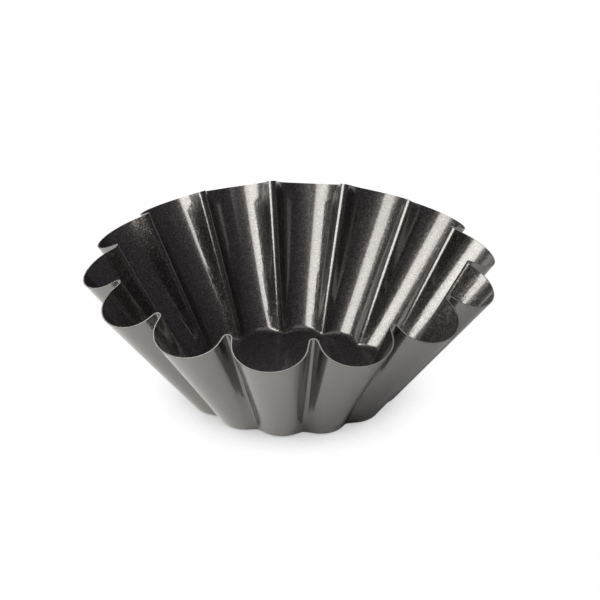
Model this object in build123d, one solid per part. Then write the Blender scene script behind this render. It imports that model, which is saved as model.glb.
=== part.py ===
from build123d import *
import os
from math import acos, atan, atan2, cos, degrees, radians, sin, sqrt, tan

# Brioche mould: one cup with deep upright flutes, pressed from steel sheet and coated on both sides.
# The frame's origin is the middle of the base's underside, with +Z up and a flute's crest on +X.

# How many flutes there are
flute_count = 14

# The outside's outline at the foot, where wall and base would meet in a sharp corner, in mm
foot_crest_radius = 58.3
foot_fold_depth = 4.2
foot_lobe_radius = 13.2
foot_fold_radius = 2.5

# The outside's outline at the height of the folds' tips, where each flute's flanks run parallel
rim_crest_radius = 117.2
rim_fold_depth = 23.3
rim_fold_radius = 1.8

# The folds' tips stand highest, and the rim sinks towards each flute's crest
fold_height = 78.6
crest_drop = 9.2

# The rounding between base and wall, on the outside, which is tighter under the folds
crest_heel_radius = 6.0
fold_heel_radius = 3.5
heel_steps = 6

# The sheet and its coats
sheet_thickness = 0.5
inner_coat_thickness = 0.12
outer_coat_thickness = 0.12

# How far the wall is drawn past the rim before it is trimmed
trim_overrun = 3.0

half_pitch = 180 / flute_count
crest_lean = atan((rim_crest_radius - foot_crest_radius) / fold_height)
foot_tip_radius = foot_crest_radius - foot_fold_depth
rim_tip_radius = rim_crest_radius - rim_fold_depth
fold_lean = atan((rim_tip_radius - foot_tip_radius) / fold_height)


def rim_lobe_radius():
    """The half round that fills a flute between flanks that run parallel."""
    return (rim_tip_radius + rim_fold_radius) * sin(radians(half_pitch)) - rim_fold_radius


def outline_sizes(level):
    """The crest, lobe, tip and fold radii of the wall's outside at a height."""
    share = level / fold_height
    foot = (foot_crest_radius, foot_lobe_radius, foot_tip_radius, foot_fold_radius)
    rim = (rim_crest_radius, rim_lobe_radius(), rim_tip_radius, rim_fold_radius)
    return [low + (high - low) * share for low, high in zip(foot, rim)]


def outline(level, crest_inset, fold_inset):
    """The closed fluted outline at a height, drawn in by insets at its crests and at its folds."""
    crest, lobe, tip, fold = outline_sizes(level)
    crest, lobe = crest - crest_inset, lobe - crest_inset
    tip, fold = tip - fold_inset, fold + fold_inset
    lobe_centre = Vector(crest - lobe, 0)
    fold_centre = Vector(tip + fold, 0).rotate(Axis.Z, half_pitch)
    between = fold_centre - lobe_centre
    flank_turn = degrees(atan2(between.Y, between.X) - acos((lobe + fold) / between.length))
    flank_normal = Vector(1, 0).rotate(Axis.Z, flank_turn)
    lobe_end = lobe_centre + flank_normal * lobe
    fold_start = fold_centre - flank_normal * fold
    crest_point = Vector(crest, 0)
    tip_point = Vector(tip, 0).rotate(Axis.Z, half_pitch)

    def mirrored(point):
        """The point on the other side of the crest."""
        return Vector(point.X, -point.Y)

    edges = []
    for number in range(flute_count):
        turn = number * 2 * half_pitch
        next_turn = turn + 2 * half_pitch
        lobe_before = mirrored(lobe_end).rotate(Axis.Z, turn)
        lobe_after = lobe_end.rotate(Axis.Z, turn)
        fold_before = fold_start.rotate(Axis.Z, turn)
        fold_after = mirrored(fold_start).rotate(Axis.Z, next_turn)
        next_lobe = mirrored(lobe_end).rotate(Axis.Z, next_turn)
        edges.append(Edge.make_three_point_arc(lobe_before, crest_point.rotate(Axis.Z, turn), lobe_after))
        edges.append(Edge.make_line(lobe_after, fold_before))
        edges.append(Edge.make_three_point_arc(fold_before, tip_point.rotate(Axis.Z, turn), fold_after))
        edges.append(Edge.make_line(fold_after, next_lobe))
    return Pos(0, 0, level) * Wire(edges)


def heel_inset(rise, radius, lean):
    """How far the rounded heel lies inside the wall's straight line, at a rise over the base."""
    rise = min(rise, radius * (1 - sin(lean)))
    corner_to_tangent = radius * tan((radians(90) - lean) / 2)
    return corner_to_tangent + rise * tan(lean) - sqrt(radius**2 - (radius - rise) ** 2)


def rim_cone():
    """The cone that the rim is trimmed to: through the folds' tips and the lowered crests."""
    crest_at_rim = outline_sizes(fold_height - crest_drop)[0]
    fall = crest_drop / (crest_at_rim - rim_tip_radius)
    height = fold_height + fall * rim_tip_radius
    return Cone(height / fall, 0, height, align=(Align.CENTER, Align.CENTER, Align.MIN))


def cup_surface(depth):
    """The faces of the surface that lies this deep under the outside, and what the rim's cone cuts there."""
    wall_inset = depth / cos(fold_lean)
    crest_radius = crest_heel_radius - depth
    fold_radius = fold_heel_radius - depth
    turn = radians(90) - crest_lean
    heel_outlines = []
    for step in range(heel_steps + 1):
        rise = crest_radius * (1 - cos(turn * step / heel_steps))
        crest_inset = wall_inset + heel_inset(rise, crest_radius, crest_lean)
        fold_inset = wall_inset + heel_inset(rise, fold_radius, fold_lean)
        heel_outlines.append(outline(depth + rise, crest_inset, fold_inset))
    top_outline = outline(fold_height + trim_overrun, wall_inset, wall_inset)
    heel = Solid.make_loft(heel_outlines)
    wall = Solid.make_loft([heel_outlines[-1], top_outline], ruled=True) & rim_cone()
    base_and_heel = heel.faces().sort_by(Axis.Z)[:-1]
    flutes = wall.faces().filter_by(GeomType.BSPLINE)
    rim_section = wall.faces().filter_by(GeomType.CONE)[0]
    return base_and_heel + flutes, rim_section


def layer(outer, inner):
    """One layer of the wall and base, closed at the rim between two nested surfaces."""
    outer_faces, outer_section = outer
    inner_faces, inner_section = inner
    rim_edge = (outer_section - inner_section).faces()
    return Solid(Shell(outer_faces + inner_faces + rim_edge))


def write(name, shape):
    """Writes one piece under its name."""
    shape.label = name
    export_step(shape, f"parts/{name}.step")


sheet_outside_depth = outer_coat_thickness
sheet_inside_depth = sheet_outside_depth + sheet_thickness
coat_inside_depth = sheet_inside_depth + inner_coat_thickness

coat_outside = cup_surface(0)
sheet_outside = cup_surface(sheet_outside_depth)
sheet_inside = cup_surface(sheet_inside_depth)
coat_inside = cup_surface(coat_inside_depth)

os.makedirs("parts", exist_ok=True)
write("steel_shell", layer(sheet_outside, sheet_inside))
write("inner_nonstick_coat", layer(sheet_inside, coat_inside))
write("outer_coat", layer(coat_outside, sheet_outside))
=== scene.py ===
import math
from typing import NamedTuple

import bpy
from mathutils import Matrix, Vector


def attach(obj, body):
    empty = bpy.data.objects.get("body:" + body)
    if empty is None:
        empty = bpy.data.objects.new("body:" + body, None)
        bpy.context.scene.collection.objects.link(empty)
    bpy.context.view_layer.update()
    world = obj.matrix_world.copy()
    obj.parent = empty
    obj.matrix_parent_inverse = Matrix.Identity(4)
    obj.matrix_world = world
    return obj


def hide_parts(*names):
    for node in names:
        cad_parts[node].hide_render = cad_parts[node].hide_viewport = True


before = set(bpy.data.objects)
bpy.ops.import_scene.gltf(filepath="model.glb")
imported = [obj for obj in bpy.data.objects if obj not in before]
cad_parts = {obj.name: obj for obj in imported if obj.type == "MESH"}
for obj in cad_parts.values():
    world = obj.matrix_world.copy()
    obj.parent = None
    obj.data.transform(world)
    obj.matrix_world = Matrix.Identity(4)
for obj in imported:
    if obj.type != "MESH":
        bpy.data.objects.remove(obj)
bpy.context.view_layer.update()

bl_info = {
    "name": "Brioche mould",
    "version": (1, 0, 0),
    "blender": (4, 5, 0),
    "location": "3D View > Sidebar > Mould",
    "description": "Dresses the fluted brioche mould: its pressed sheet, its two coats and the stage",
    "category": "Object",
}

MM = 0.001


class MouldSizes(bpy.types.PropertyGroup):
    """The pressed shape, on its outside."""

    flutes: bpy.props.IntProperty(
        name="Flutes", description="How many flutes stand round the wall", default=14, min=6)
    foot_crest: bpy.props.FloatProperty(
        name="Foot crest radius", description="Radius over the flutes where wall and base would meet",
        default=58.3 * MM, unit="LENGTH", precision=4)
    foot_depth: bpy.props.FloatProperty(
        name="Foot fold depth", description="How deep the folds are at the foot",
        default=4.2 * MM, unit="LENGTH", precision=4)
    foot_lobe: bpy.props.FloatProperty(
        name="Foot lobe radius", description="How round each flute is at the foot",
        default=13.2 * MM, unit="LENGTH", precision=4)
    foot_fold: bpy.props.FloatProperty(
        name="Foot fold radius", description="How round each fold is at the foot",
        default=2.5 * MM, unit="LENGTH", precision=4)
    rim_crest: bpy.props.FloatProperty(
        name="Rim crest radius", description="Radius over the flutes at the folds' height",
        default=117.2 * MM, unit="LENGTH", precision=4)
    rim_depth: bpy.props.FloatProperty(
        name="Rim fold depth", description="How deep the folds are at the rim",
        default=23.3 * MM, unit="LENGTH", precision=4)
    rim_fold: bpy.props.FloatProperty(
        name="Rim fold radius", description="How round each fold is at the rim",
        default=1.8 * MM, unit="LENGTH", precision=4)
    fold_height: bpy.props.FloatProperty(
        name="Fold height", description="How high the folds' tips stand",
        default=78.6 * MM, unit="LENGTH", precision=4)
    crest_drop: bpy.props.FloatProperty(
        name="Crest drop", description="How far the rim sinks from the folds to the crests",
        default=9.2 * MM, unit="LENGTH", precision=4)
    heel: bpy.props.FloatProperty(
        name="Heel radius", description="Rounding between base and wall under the crests",
        default=6.0 * MM, unit="LENGTH", precision=4)
    fold_heel: bpy.props.FloatProperty(
        name="Fold heel radius", description="Rounding between base and wall under the folds",
        default=3.5 * MM, unit="LENGTH", precision=4)
    sheet: bpy.props.FloatProperty(
        name="Sheet thickness", description="Thickness of the steel",
        default=0.5 * MM, unit="LENGTH", precision=5)
    coat: bpy.props.FloatProperty(
        name="Coat thickness", description="Thickness of each coat",
        default=0.12 * MM, unit="LENGTH", precision=5)


class MouldColours(bpy.types.PropertyGroup):
    """The finishes' colours."""

    nonstick: bpy.props.FloatVectorProperty(
        name="Non-stick coat", description="The inner coat between its flakes",
        subtype="COLOR", default=(0.036, 0.0328, 0.0317), min=0, max=1)
    flake: bpy.props.FloatVectorProperty(
        name="Flakes", description="The metal flakes in the inner coat",
        subtype="COLOR", default=(0.17, 0.156, 0.15), min=0, max=1)
    nonstick_light: bpy.props.FloatVectorProperty(
        name="Lighter non-stick coat", description="The inner coat's lighter grains",
        subtype="COLOR", default=(0.09, 0.0822, 0.0792), min=0, max=1)
    satin: bpy.props.FloatVectorProperty(
        name="Outer coat", description="The smooth coat on the outside",
        subtype="COLOR", default=(0.236, 0.231, 0.223), min=0, max=1)
    satin_dark: bpy.props.FloatVectorProperty(
        name="Darker outer coat", description="The outer coat's darker grains",
        subtype="COLOR", default=(0.195, 0.191, 0.184), min=0, max=1)
    steel: bpy.props.FloatVectorProperty(
        name="Bare steel", description="The cut edge of the sheet",
        subtype="COLOR", default=(0.36, 0.353, 0.345), min=0, max=1)
    floor: bpy.props.FloatVectorProperty(
        name="Floor", description="The pale floor, as light falls on it",
        subtype="COLOR", default=(0.9, 0.9, 0.9), min=0, max=1)


class StageSettings(bpy.types.PropertyGroup):
    """Where the camera stands and what it takes in."""

    azimuth: bpy.props.FloatProperty(
        name="Azimuth", description="Where the camera stands round the mould",
        subtype="ANGLE", default=math.radians(-6.926))
    elevation: bpy.props.FloatProperty(
        name="Elevation", description="How steeply the camera looks down",
        subtype="ANGLE", default=0.4900)
    distance: bpy.props.FloatProperty(
        name="Distance", description="From the camera to the plane through the rim's middle",
        default=0.98394, unit="LENGTH")
    right: bpy.props.FloatProperty(
        name="Right", description="How far right of the rim's middle the camera looks",
        default=4.83 * MM, unit="LENGTH", precision=4)
    up: bpy.props.FloatProperty(
        name="Up", description="How far above the rim's middle the camera looks",
        default=-24.66 * MM, unit="LENGTH", precision=4)
    lens: bpy.props.FloatProperty(
        name="Lens", description="Focal length in millimetres", default=111.2)


class Lamp(NamedTuple):
    """An area lamp, with its tip about X, its turn about Z and whether the mould mirrors it."""

    name: str
    place: tuple
    tip: float
    turn: float
    size: tuple
    level: float
    mirrored: bool


# How finely the shape is divided, and up to which angle between faces it is shaded smooth
LOBE_STEPS = 56
FLANK_STEPS = 3
FOLD_STEPS = 26
HEEL_STEPS = 10
WALL_STEPS = 22
SMOOTH_ANGLE = math.radians(35)

# The search for the rim: between which shares of the wall's line, and how often that stretch is halved
TRIM_SHARES = (0.5, 1.5)
TRIM_HALVINGS = 40

# The inner coat: its flakes along a metre, the spread of their lean along each axis as a slope, and the
# random colour that stands for no lean
FLAKES_PER_METRE = 1700.0
FLAKE_LEAN = 0.16
NO_LEAN = (0.5, 0.5, 0.5)

# From which random share on a flake lies askew, how rough a flat flake is, and what an askew one adds
ASKEW_SHARE = 0.7
FLAT_ROUGHNESS = 0.34
ASKEW_ROUGHNESS = 0.12

# The outer coat: the orange peel and the specks along a metre, and the noise from dark to light specks
PEEL_PER_METRE = 700.0
PEEL_DEPTH = 0.1 * MM
PEEL_STRENGTH = 0.04
SPECKS_PER_METRE = 2500.0
SPECK_NOISE = (0.3, 0.7)

# The cut edge: its grain along a metre, its least roughness and what the grain adds
GRAIN_PER_METRE = 900.0
EDGE_ROUGHNESS = 0.4
GRAIN_ROUGHNESS = 0.2

# What the camera sees of the floor: white with a little of the floor's true light, and a painted shadow,
# darker where the mould stands close over it and covers more of its sky
FLOOR_SIZE = 12.0
WHITE = (1.0, 1.0, 1.0, 1.0)
SHADOW = (0.44, 0.44, 0.44, 1.0)
SHADOW_REACH = 0.04
SHADOW_SKY_SHARES = (0.1, 0.455)
SHADOW_SAMPLES = 8
SEEN_LEVEL = 1.02
SEEN_SHARE = 0.97

# How bright the dim studio is all round
STUDIO_COLOUR = (0.95, 0.9, 1.0, 1.0)
STUDIO_LEVEL = 0.13

# The softbox's screen: its turn from the camera, its distance from the mould's axis, and its bounds
SOFTBOX_TURN = math.radians(-45)
SOFTBOX_DISTANCE = 0.57
SOFTBOX_SIDES = (-1.05, 0.27)
SOFTBOX_HEIGHTS = (0.08, 0.96)

# The softbox's oval face, across and up its screen: its middle, its half sizes, its lean, and its soft
# edge in half sizes
FACE_MIDDLE = (-0.2, 0.4)
FACE_HALF = (0.37, 0.5)
FACE_LEAN = 0.175
FACE_EDGE = (1.12, 0.9)

# How bright the face is at its hot spot and away from it
HOT_SPOT = (-0.12, 0.3)
HOT_REACH = 0.45
HOT_LEVEL = 7.5
FACE_LEVEL = 5.4
SOFTBOX_TINT = (1.0, 0.986, 0.952)

# The dim margin at the face's left, and where it fades out behind the face
MARGIN_LEVEL = 1.1
MARGIN_INSIDE = (0.0, -0.3)

# The area lamps
LAMPS = (
    Lamp("top", place=(0.0, -0.5, 1.5), tip=math.radians(20), turn=0.0,
         size=(1.2, 1.1), level=0.55, mirrored=True),
    Lamp("ceiling", place=(0.0, 0.0, 2.0), tip=0.0, turn=0.0,
         size=(3.0, 3.0), level=0.6, mirrored=False),
    Lamp("back", place=(0.3, 1.0, 1.1), tip=math.radians(-43), turn=math.radians(-17),
         size=(1.0, 0.5), level=0.55, mirrored=True),
    Lamp("back_fill", place=(0.6, 1.1, 0.7), tip=math.radians(-61), turn=math.radians(-29),
         size=(1.0, 0.6), level=2.6, mirrored=False),
)

# The camera's sensor in millimetres, and the nearest that it sees
SENSOR_WIDTH = 36.0
NEAREST = 0.01


def unit(angle):
    """The step of length 1 in the plane at an angle."""
    return Vector((math.cos(angle), math.sin(angle)))


def turned(point, angle):
    """A point of the plane, turned about the axis."""
    cosine, sine = math.cos(angle), math.sin(angle)
    return Vector((cosine * point.x - sine * point.y, sine * point.x + cosine * point.y))


def heel_inset(rise, radius, lean):
    """How far the rounded heel lies inside the wall's straight line, at a rise over the base."""
    rise = min(rise, radius * (1 - math.sin(lean)))
    corner_to_tangent = radius * math.tan((math.pi / 2 - lean) / 2)
    arc = math.sqrt(radius ** 2 - (radius - rise) ** 2)
    return corner_to_tangent + rise * math.tan(lean) - arc


class Cup:
    """The pressed cup's shape: where its surface lies at any height and depth."""

    def __init__(self, sizes):
        self.sizes = sizes
        self.half_pitch = math.pi / sizes.flutes
        self.foot_tip = sizes.foot_crest - sizes.foot_depth
        self.rim_tip = sizes.rim_crest - sizes.rim_depth
        self.rim_lobe = (self.rim_tip + sizes.rim_fold) * math.sin(self.half_pitch) - sizes.rim_fold
        self.crest_lean = math.atan((sizes.rim_crest - sizes.foot_crest) / sizes.fold_height)
        self.fold_lean = math.atan((self.rim_tip - self.foot_tip) / sizes.fold_height)
        crest_at_rim = self.outline_sizes(sizes.fold_height - sizes.crest_drop)[0]
        self.rim_fall = sizes.crest_drop / (crest_at_rim - self.rim_tip)

    def outline_sizes(self, level):
        """Crest, lobe, tip and fold radii of the outside at a height."""
        sizes = self.sizes
        share = level / sizes.fold_height
        foot = (sizes.foot_crest, sizes.foot_lobe, self.foot_tip, sizes.foot_fold)
        rim = (sizes.rim_crest, self.rim_lobe, self.rim_tip, sizes.rim_fold)
        return [low + (high - low) * share for low, high in zip(foot, rim)]

    def flute(self, level, crest_inset, fold_inset):
        """One flute's points at a height: its lobe, a flank, the fold after it and the other flank."""
        crest, lobe, tip, fold = self.outline_sizes(level)
        crest, lobe = crest - crest_inset, lobe - crest_inset
        tip, fold = tip - fold_inset, fold + fold_inset
        lobe_centre = Vector((crest - lobe, 0))
        fold_centre = unit(self.half_pitch) * (tip + fold)
        between = fold_centre - lobe_centre
        turn = math.atan2(between.y, between.x) - math.acos((lobe + fold) / between.length)
        points = []
        for step in range(LOBE_STEPS + 1):
            angle = turn * (2 * step / LOBE_STEPS - 1)
            points.append(lobe_centre + lobe * unit(angle))
        fold_points = []
        for step in range(FOLD_STEPS + 1):
            angle = turn + math.pi + (2 * self.half_pitch - 2 * turn) * step / FOLD_STEPS
            fold_points.append(fold_centre + fold * unit(angle))
        for step in range(1, FLANK_STEPS):
            points.append(points[LOBE_STEPS].lerp(fold_points[0], step / FLANK_STEPS))
        points += fold_points
        next_lobe = turned(points[0], 2 * self.half_pitch)
        for step in range(1, FLANK_STEPS):
            points.append(fold_points[-1].lerp(next_lobe, step / FLANK_STEPS))
        return points

    def outline(self, level, crest_inset, fold_inset):
        """The points of the fluted outline at a height, drawn in by an inset at its crests and folds."""
        points = self.flute(level, crest_inset, fold_inset)
        ring = []
        for number in range(self.sizes.flutes):
            angle = 2 * self.half_pitch * number
            ring += [Vector((*turned(point, angle), level)) for point in points]
        return ring

    def rings(self, depth):
        """The surface's rings from the base's flat to the trimmed rim, at a depth under the outside."""
        wall_inset = depth / math.cos(self.fold_lean)
        crest_radius = self.sizes.heel - depth
        fold_radius = self.sizes.fold_heel - depth
        turn = math.pi / 2 - self.crest_lean
        margin = wall_inset + fold_radius / HEEL_STEPS
        rings = [self.outline(depth, margin + heel_inset(0, crest_radius, self.crest_lean),
                              margin + heel_inset(0, fold_radius, self.fold_lean))]
        for step in range(HEEL_STEPS + 1):
            rise = crest_radius * (1 - math.cos(turn * step / HEEL_STEPS))
            crest_inset = wall_inset + heel_inset(rise, crest_radius, self.crest_lean)
            fold_inset = wall_inset + heel_inset(rise, fold_radius, self.fold_lean)
            rings.append(self.outline(depth + rise, crest_inset, fold_inset))
        low = rings[-1]
        high = self.outline(self.sizes.fold_height, wall_inset, wall_inset)
        rim = [self.trimmed(start, end) for start, end in zip(low, high)]
        for step in range(1, WALL_STEPS + 1):
            rings.append([start.lerp(end, step / WALL_STEPS) for start, end in zip(low, rim)])
        return rings

    def trimmed(self, start, end):
        """Where the wall's straight line from start through end meets the rim's cone."""
        low, high = TRIM_SHARES
        for _ in range(TRIM_HALVINGS):
            middle = (low + high) / 2
            point = start.lerp(end, middle)
            reach = math.hypot(point.x, point.y) - self.rim_tip
            if point.z > self.sizes.fold_height - self.rim_fall * reach:
                high = middle
            else:
                low = middle
        return start.lerp(end, middle)


def deselect():
    """Deselects everything, so that the next operator acts on its own piece alone."""
    bpy.ops.object.select_all(action="DESELECT")


def skin(name, rings):
    """An open fluted skin: a disc whose edge is drawn up ring by ring and set on the rings' points."""
    deselect()
    columns = len(rings[0])
    bpy.ops.mesh.primitive_circle_add(vertices=columns, radius=1, fill_type="NGON")
    piece = bpy.context.object
    piece.name = name
    piece.data.name = name
    bpy.ops.object.mode_set(mode="EDIT")
    for _ in rings[1:]:
        bpy.ops.mesh.extrude_edges_move(TRANSFORM_OT_translate={"value": (0, 0, 1)})
    bpy.ops.object.mode_set(mode="OBJECT")
    for vertex in piece.data.vertices:
        place = math.atan2(vertex.co.y, vertex.co.x) / (2 * math.pi)
        column = round(place * columns) % columns
        vertex.co = rings[round(vertex.co.z)][column]
    bpy.ops.object.mode_set(mode="EDIT")
    bpy.ops.mesh.select_all(action="SELECT")
    bpy.ops.mesh.normals_make_consistent(inside=False)
    bpy.ops.object.mode_set(mode="OBJECT")
    base = max(piece.data.polygons, key=lambda face: len(face.vertices))
    if base.normal.z > 0:
        piece.data.flip_normals()
    return piece


def layer(name, cup, outer_depth, inner_depth):
    """A closed layer of the wall between two nested skins, joined at the rim."""
    outside = skin(name, cup.rings(outer_depth))
    inside = skin(name + "_inside", cup.rings(inner_depth))
    inside.data.flip_normals()
    deselect()
    inside.select_set(True)
    outside.select_set(True)
    bpy.context.view_layer.objects.active = outside
    bpy.ops.object.join()
    bpy.ops.object.mode_set(mode="EDIT")
    bpy.ops.mesh.select_mode(type="EDGE")
    bpy.ops.mesh.select_all(action="DESELECT")
    bpy.ops.mesh.select_non_manifold(extend=False)
    bpy.ops.mesh.bridge_edge_loops()
    bpy.ops.mesh.select_all(action="SELECT")
    bpy.ops.mesh.normals_make_consistent(inside=False)
    bpy.ops.object.mode_set(mode="OBJECT")
    bpy.ops.object.shade_smooth_by_angle(angle=SMOOTH_ANGLE)
    return outside


class Link:
    """Wraps a node's socket, so that node maths is written as Python expressions."""

    # The Mix node's colour sockets share their names with its other ones, so they go by number
    MIX_FACTOR = 0
    MIX_LOW = 6
    MIX_HIGH = 7
    MIX_COLOUR = 2

    def __init__(self, tree, socket=None):
        self.tree = tree
        self.socket = socket

    def node(self, kind, settings=None, inputs=None, output=0):
        """Adds any node: its settings first, then its sockets' values or links."""
        node = self.tree.nodes.new(kind)
        for name, value in (settings or {}).items():
            setattr(node, name, value)
        for name, value in (inputs or {}).items():
            if isinstance(value, Link):
                self.tree.links.new(value.socket, node.inputs[name])
            else:
                node.inputs[name].default_value = value
        return Link(self.tree, node.outputs[output] if node.outputs else None)

    def other(self, output):
        """Another output of the same node."""
        return Link(self.tree, self.socket.node.outputs[output])

    def maths(self, operation, *values):
        """A Math node on numbers and links."""
        return self.node("ShaderNodeMath", {"operation": operation}, dict(enumerate(values)))

    def __add__(self, other):
        return self.maths("ADD", self, other)

    def __radd__(self, other):
        return self.maths("ADD", other, self)

    def __sub__(self, other):
        return self.maths("SUBTRACT", self, other)

    def __rsub__(self, other):
        return self.maths("SUBTRACT", other, self)

    def __mul__(self, other):
        return self.maths("MULTIPLY", self, other)

    def __rmul__(self, other):
        return self.maths("MULTIPLY", other, self)

    def root(self):
        """The square root of this value."""
        return self.maths("SQRT", self)

    def spread(self, low, high):
        """This value's stretch from low to high, drawn out to 0 to 1 and clamped."""
        return self.node("ShaderNodeMapRange", {"clamp": True},
                         {"Value": self, "From Min": low, "From Max": high})

    def colour(self, low, high):
        """The low colour where this value is 0 and the high one where it is 1."""
        inputs = {self.MIX_FACTOR: self, self.MIX_LOW: low, self.MIX_HIGH: high}
        return self.node("ShaderNodeMix", {"data_type": "RGBA"}, inputs, self.MIX_COLOUR)

    def vector(self, operation, inputs, output="Vector"):
        """A Vector Math node on vectors and links."""
        return self.node("ShaderNodeVectorMath", {"operation": operation}, inputs, output)


def new_surface(name):
    """A material with an empty node tree, and the tree's link."""
    material = bpy.data.materials.new(name)
    material.use_nodes = True
    material.node_tree.nodes.clear()
    return material, Link(material.node_tree)


def opaque(colour):
    """A colour with full alpha."""
    return (*colour, 1.0)


def surface_place(tree):
    """The point of the surface, in the object's own coordinates."""
    return tree.node("ShaderNodeTexCoord", output="Object")


def noise(tree, per_metre, detail):
    """Noise of about so many grains along a metre."""
    inputs = {"Vector": surface_place(tree), "Scale": per_metre, "Detail": detail}
    return tree.node("ShaderNodeTexNoise", inputs=inputs)


def mixed_shader(share, low, high):
    """The low shader where the share is 0 and the high one where it is 1."""
    return share.node("ShaderNodeMixShader", inputs={0: share, 1: low, 2: high})


def flake_normal(tree, cells):
    """The surface's normal, leaning a little its own way in each cell."""
    upright = tree.node("ShaderNodeNewGeometry", output="Normal")
    lean = tree.vector("SUBTRACT", {0: cells, 1: NO_LEAN})
    lean = tree.vector("SCALE", {0: lean, "Scale": FLAKE_LEAN})
    leaning = tree.vector("ADD", {0: upright, 1: lean})
    return tree.vector("NORMALIZE", {0: leaning})


def flake_material(colours):
    """The dark gloss coat, full of fine metal flakes, of which some lie askew and are paler."""
    material, tree = new_surface("flake_nonstick")
    inputs = {"Vector": surface_place(tree), "Scale": FLAKES_PER_METRE}
    cells = tree.node("ShaderNodeTexVoronoi", inputs=inputs, output="Color")
    random_share = tree.node("ShaderNodeSeparateColor", inputs={"Color": cells})
    askew = random_share.spread(ASKEW_SHARE, 1.0)
    shade = random_share.other("Green")
    lacquer = shade.colour(opaque(colours.nonstick), opaque(colours.nonstick_light))
    shader = tree.node("ShaderNodeBsdfPrincipled", inputs={
        "Base Color": askew.colour(lacquer, opaque(colours.flake)), "Metallic": 0.9,
        "Roughness": FLAT_ROUGHNESS + ASKEW_ROUGHNESS * askew, "Normal": flake_normal(tree, cells),
        "Coat Weight": 1.0, "Coat Roughness": 0.1, "Coat IOR": 1.7})
    tree.node("ShaderNodeOutputMaterial", inputs={"Surface": shader})
    return material


def satin_material(colours):
    """The smooth grey coat on the outside, with a faint orange peel and fine specks."""
    material, tree = new_surface("satin_grey_coat")
    peel = noise(tree, PEEL_PER_METRE, detail=2.0)
    bump = tree.node("ShaderNodeBump", inputs={
        "Strength": PEEL_STRENGTH, "Distance": PEEL_DEPTH, "Height": peel})
    specks = noise(tree, SPECKS_PER_METRE, detail=2.0)
    grey = specks.spread(*SPECK_NOISE).colour(opaque(colours.satin_dark), opaque(colours.satin))
    shader = tree.node("ShaderNodeBsdfPrincipled", inputs={
        "Base Color": grey, "Metallic": 1.0, "Roughness": 0.17, "Normal": bump})
    tree.node("ShaderNodeOutputMaterial", inputs={"Surface": shader})
    return material


def steel_material(colours):
    """Bare steel of the cut edge, with a fine uneven roughness."""
    material, tree = new_surface("bare_steel")
    grain = noise(tree, GRAIN_PER_METRE, detail=3.0)
    shader = tree.node("ShaderNodeBsdfPrincipled", inputs={
        "Base Color": opaque(colours.steel), "Metallic": 0.6,
        "Roughness": EDGE_ROUGHNESS + GRAIN_ROUGHNESS * grain})
    tree.node("ShaderNodeOutputMaterial", inputs={"Surface": shader})
    return material


def place_piece(piece, material, node):
    """Gives a finished piece its material and its place in the frame."""
    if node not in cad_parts:
        raise RuntimeError(f"The frame has no {node} for {piece.name}")
    piece.data.materials.clear()
    piece.data.materials.append(material)
    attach(piece, "root")
    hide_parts(node)


class MOULD_OT_steel_shell(bpy.types.Operator):
    """Presses the steel sheet, whose cut edge shows at the rim"""

    bl_idname = "mould.steel_shell"
    bl_label = "Steel shell"

    def execute(self, context):
        sizes = context.scene.mould_sizes
        shell = layer("pressed_sheet", Cup(sizes), sizes.coat, sizes.coat + sizes.sheet)
        material = steel_material(context.scene.mould_colours)
        place_piece(shell, material, "steel_shell")
        return {"FINISHED"}


class MOULD_OT_inner_coat(bpy.types.Operator):
    """Lays the non-stick coat on the inside"""

    bl_idname = "mould.inner_coat"
    bl_label = "Inner non-stick coat"

    def execute(self, context):
        sizes = context.scene.mould_sizes
        depth = sizes.coat + sizes.sheet
        coat = layer("nonstick_lining", Cup(sizes), depth, depth + sizes.coat)
        material = flake_material(context.scene.mould_colours)
        place_piece(coat, material, "inner_nonstick_coat")
        return {"FINISHED"}


class MOULD_OT_outer_coat(bpy.types.Operator):
    """Lays the satin coat on the outside"""

    bl_idname = "mould.outer_coat"
    bl_label = "Outer coat"

    def execute(self, context):
        sizes = context.scene.mould_sizes
        coat = layer("satin_outside", Cup(sizes), 0, sizes.coat)
        material = satin_material(context.scene.mould_colours)
        place_piece(coat, material, "outer_coat")
        return {"FINISHED"}


class MOULD_OT_stage(bpy.types.Operator):
    """Sets the floor, the lights and the camera"""

    bl_idname = "mould.stage"
    bl_label = "Stage"

    def execute(self, context):
        add_floor(context.scene.mould_colours)
        add_world(context.scene)
        add_softbox(context.scene.mould_stage.azimuth + SOFTBOX_TURN)
        for lamp in LAMPS:
            add_lamp(lamp)
        add_camera(context.scene)
        return {"FINISHED"}


def add_floor(colours):
    """The pale floor, which the camera sees white, with painted shade where the mould stands close over
    it.
    """
    deselect()
    bpy.ops.mesh.primitive_plane_add(size=FLOOR_SIZE)
    floor = bpy.context.object
    floor.name = "floor"
    material, tree = new_surface("floor")
    lit = tree.node("ShaderNodeBsdfDiffuse", inputs={"Color": opaque(colours.floor)})
    open_sky = tree.node("ShaderNodeAmbientOcclusion", {"samples": SHADOW_SAMPLES},
                         {"Distance": SHADOW_REACH}, output="AO")
    # Painted shadow: the seen white darkens as the mould covers more of the floor's sky, not by the
    # lamps' light
    shade = open_sky.spread(*SHADOW_SKY_SHARES).colour(SHADOW, WHITE)
    white = tree.node("ShaderNodeEmission", inputs={"Color": shade, "Strength": SEEN_LEVEL})
    camera_ray = tree.node("ShaderNodeLightPath", output="Is Camera Ray")
    seen = mixed_shader(SEEN_SHARE * camera_ray, lit, white)
    tree.node("ShaderNodeOutputMaterial", inputs={"Surface": seen})
    floor.data.materials.append(material)


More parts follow.
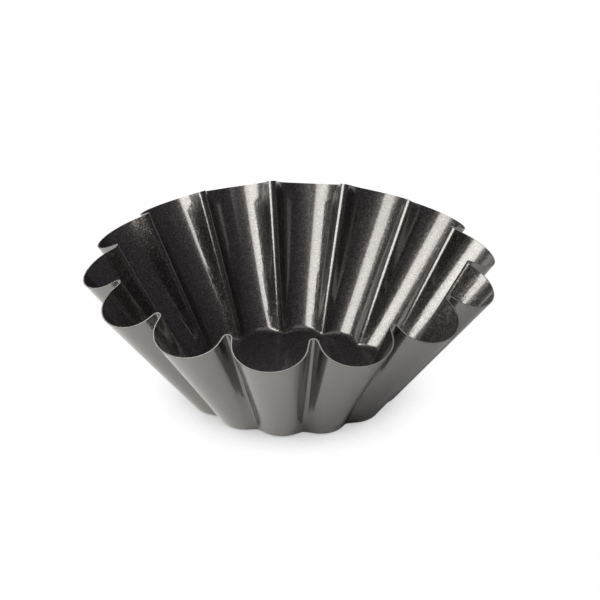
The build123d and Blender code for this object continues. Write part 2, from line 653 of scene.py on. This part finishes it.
def add_world(scene):
    """White behind the floor for the camera, and a dim studio all round for the rest."""
    world = bpy.data.worlds.new("studio")
    world.use_nodes = True
    world.node_tree.nodes.clear()
    tree = Link(world.node_tree)
    dim = tree.node("ShaderNodeBackground", inputs={"Color": STUDIO_COLOUR, "Strength": STUDIO_LEVEL})
    white = tree.node("ShaderNodeBackground", inputs={"Color": WHITE, "Strength": 1.0})
    camera_ray = tree.node("ShaderNodeLightPath", output="Is Camera Ray")
    shown = mixed_shader(camera_ray, dim, white)
    tree.node("ShaderNodeOutputWorld", inputs={"Surface": shown})
    scene.world = world


def tinted(level):
    """The softbox's slightly warm light at a level, as a colour."""
    return opaque([level * share for share in SOFTBOX_TINT])


def oval_distance(across, height, middle, half=(1, 1)):
    """How far a point of the softbox's screen lies from a middle, in half sizes."""
    side = (across - middle[0]) * (1 / half[0])
    rise = (height - middle[1]) * (1 / half[1])
    return (side * side + rise * rise).root()


def softbox_material(along):
    """The softbox's glow: an oval face with a hot spot, and a dim margin at its left."""
    material, tree = new_surface("softbox")
    place = surface_place(tree)
    across = tree.vector("DOT_PRODUCT", {0: place, 1: along}, output="Value")
    height = tree.node("ShaderNodeSeparateXYZ", inputs={"Vector": place}, output="Z")
    heat = oval_distance(across, height, HOT_SPOT).spread(0, HOT_REACH)
    face = heat.colour(tinted(HOT_LEVEL), tinted(FACE_LEVEL))
    leaning = across + FACE_LEAN * (height - FACE_MIDDLE[1])
    inside = oval_distance(leaning, height, FACE_MIDDLE, FACE_HALF).spread(*FACE_EDGE)
    face_left = FACE_MIDDLE[0] - FACE_HALF[0]
    margin = across.spread(SOFTBOX_SIDES[0], face_left) * across.spread(*MARGIN_INSIDE)
    surround = margin.colour(tinted(STUDIO_LEVEL), tinted(MARGIN_LEVEL))
    colour = inside.colour(surround, face)
    glow = tree.node("ShaderNodeEmission", inputs={"Color": colour, "Strength": 1.0})
    tree.node("ShaderNodeOutputMaterial", inputs={"Surface": glow})
    return material


def add_softbox(turn):
    """An upright softbox at the camera's left: a glowing screen that the camera doesn't see."""
    away = Vector((math.sin(turn), -math.cos(turn), 0))
    along = Vector((math.cos(turn), math.sin(turn), 0))
    deselect()
    bpy.ops.mesh.primitive_plane_add(size=1)
    box = bpy.context.object
    box.name = "softbox"
    corners = [(side, height) for height in SOFTBOX_HEIGHTS for side in SOFTBOX_SIDES]
    for vertex, (side, height) in zip(box.data.vertices, corners):
        vertex.co = away * SOFTBOX_DISTANCE + along * side + Vector((0, 0, height))
    box.data.materials.append(softbox_material(along))
    box.visible_camera = False


def add_lamp(lamp):
    """Hangs an area lamp whose face is as bright as its level, hidden from the camera."""
    deselect()
    bpy.ops.object.light_add(type="AREA", location=lamp.place, rotation=(lamp.tip, 0, lamp.turn))
    light = bpy.context.object
    light.name = lamp.name
    light.data.shape = "RECTANGLE"
    light.data.size, light.data.size_y = lamp.size
    light.data.energy = lamp.level * math.pi * lamp.size[0] * lamp.size[1]
    light.visible_camera = False
    light.visible_glossy = lamp.mirrored


def add_camera(scene):
    """The camera at the photograph's viewing angle."""
    stage = scene.mould_stage
    azimuth, elevation = stage.azimuth, stage.elevation
    back = Vector((math.sin(azimuth) * math.cos(elevation), -math.cos(azimuth) * math.cos(elevation),
                   math.sin(elevation)))
    right = Vector((math.cos(azimuth), math.sin(azimuth), 0))
    up = back.cross(right)
    middle = Vector((0, 0, scene.mould_sizes.fold_height))
    eye = middle + back * stage.distance + right * stage.right + up * stage.up
    deselect()
    bpy.ops.object.camera_add(location=eye)
    camera = bpy.context.object
    camera.name = "camera"
    camera.rotation_euler = (-back).to_track_quat("-Z", "Y").to_euler()
    camera.data.lens = stage.lens
    camera.data.sensor_width = SENSOR_WIDTH
    camera.data.clip_start = NEAREST
    scene.camera = camera


class MOULD_PT_panel(bpy.types.Panel):
    """Lists the operators that make the mould and its stage"""

    bl_idname = "MOULD_PT_panel"
    bl_label = "Brioche mould"
    bl_space_type = "VIEW_3D"
    bl_region_type = "UI"
    bl_category = "Mould"

    def draw(self, context):
        for operator in OPERATORS:
            self.layout.operator(operator.bl_idname)


OPERATORS = (MOULD_OT_outer_coat, MOULD_OT_steel_shell, MOULD_OT_inner_coat, MOULD_OT_stage)
CLASSES = (MouldSizes, MouldColours, StageSettings, *OPERATORS, MOULD_PT_panel)


def register():
    """Registers the classes and hangs the settings on the scene."""
    for each in CLASSES:
        bpy.utils.register_class(each)
    bpy.types.Scene.mould_sizes = bpy.props.PointerProperty(type=MouldSizes)
    bpy.types.Scene.mould_colours = bpy.props.PointerProperty(type=MouldColours)
    bpy.types.Scene.mould_stage = bpy.props.PointerProperty(type=StageSettings)


def unregister():
    """Takes the settings off the scene and the classes out again."""
    del bpy.types.Scene.mould_stage
    del bpy.types.Scene.mould_colours
    del bpy.types.Scene.mould_sizes
    for each in reversed(CLASSES):
        bpy.utils.unregister_class(each)


def main():
    """Makes the pieces and the stage in order."""
    register()
    bpy.context.scene.view_settings.view_transform = "Standard"
    bpy.ops.mould.outer_coat()
    bpy.ops.mould.steel_shell()
    bpy.ops.mould.inner_coat()
    bpy.ops.mould.stage()


if __name__ == "__main__":
    main()
